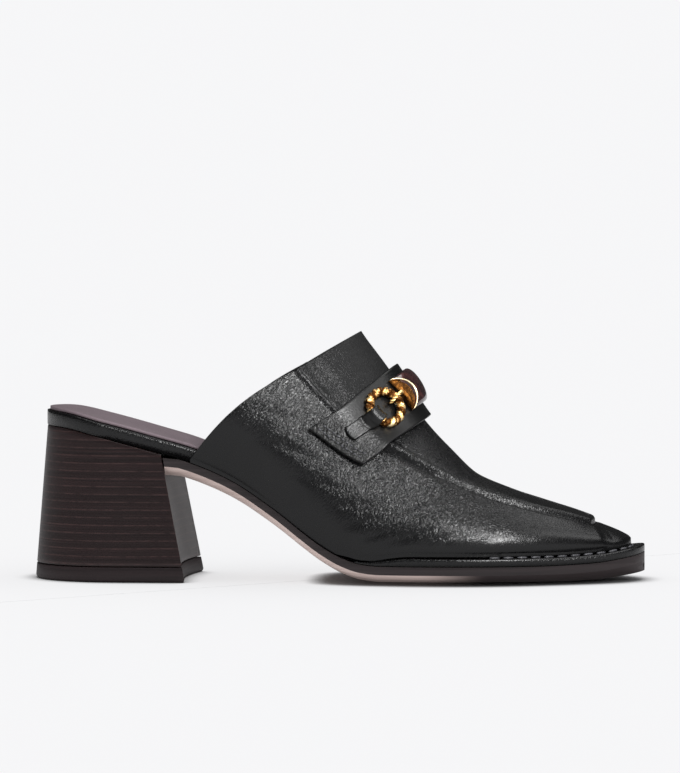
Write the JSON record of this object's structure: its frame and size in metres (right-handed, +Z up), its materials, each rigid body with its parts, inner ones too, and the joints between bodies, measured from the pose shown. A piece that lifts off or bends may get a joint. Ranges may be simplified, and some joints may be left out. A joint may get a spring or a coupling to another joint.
{
  "type": "heeled mule",
  "caption": "Backless leather mule with a squared apron toe, a strap with ring and bar trim over the instep, and a stacked block heel.",
  "frame": {"origin": "on the floor, below the middle of the shoe's bounding box", "axes": "+X towards the toe, +Z up, -Y towards the outer side of this right shoe"},
  "size_m": [0.2499, 0.0829, 0.102],
  "materials": {
    "black_leather": "semi-gloss tumbled calf leather with a fine crinkled grain",
    "sole_leather": "sanded leather edge, stained mauve-brown, with a pale trimmed bevel below",
    "stacked_leather": "stacked leather, waxed, thin lighter lines between the lifts",
    "top_piece_rubber": "hard matt rubber",
    "sock_leather": "smooth matt lining leather, mauve-brown",
    "antique_gold": "antiqued gold plating, dark in the grooves",
    "tortoise_resin": "polished dark tortoise-coloured resin"
  },
  "bodies": {
    "root": {"outsole": "sole_leather", "heel": "stacked_leather", "heel_top_piece": "top_piece_rubber", "insole": "black_leather", "sock_lining": "sock_leather", "upper": "black_leather", "welt": "black_leather", "strap": "black_leather", "ring_outer": "antique_gold", "ring_inner": "antique_gold", "tab_outer": "black_leather", "tab_inner": "black_leather", "bar": "tortoise_resin", "bar_cap_outer": "antique_gold", "bar_cap_inner": "antique_gold", "link_outer": "antique_gold", "link_inner": "antique_gold"}
  },
  "joints": []
}
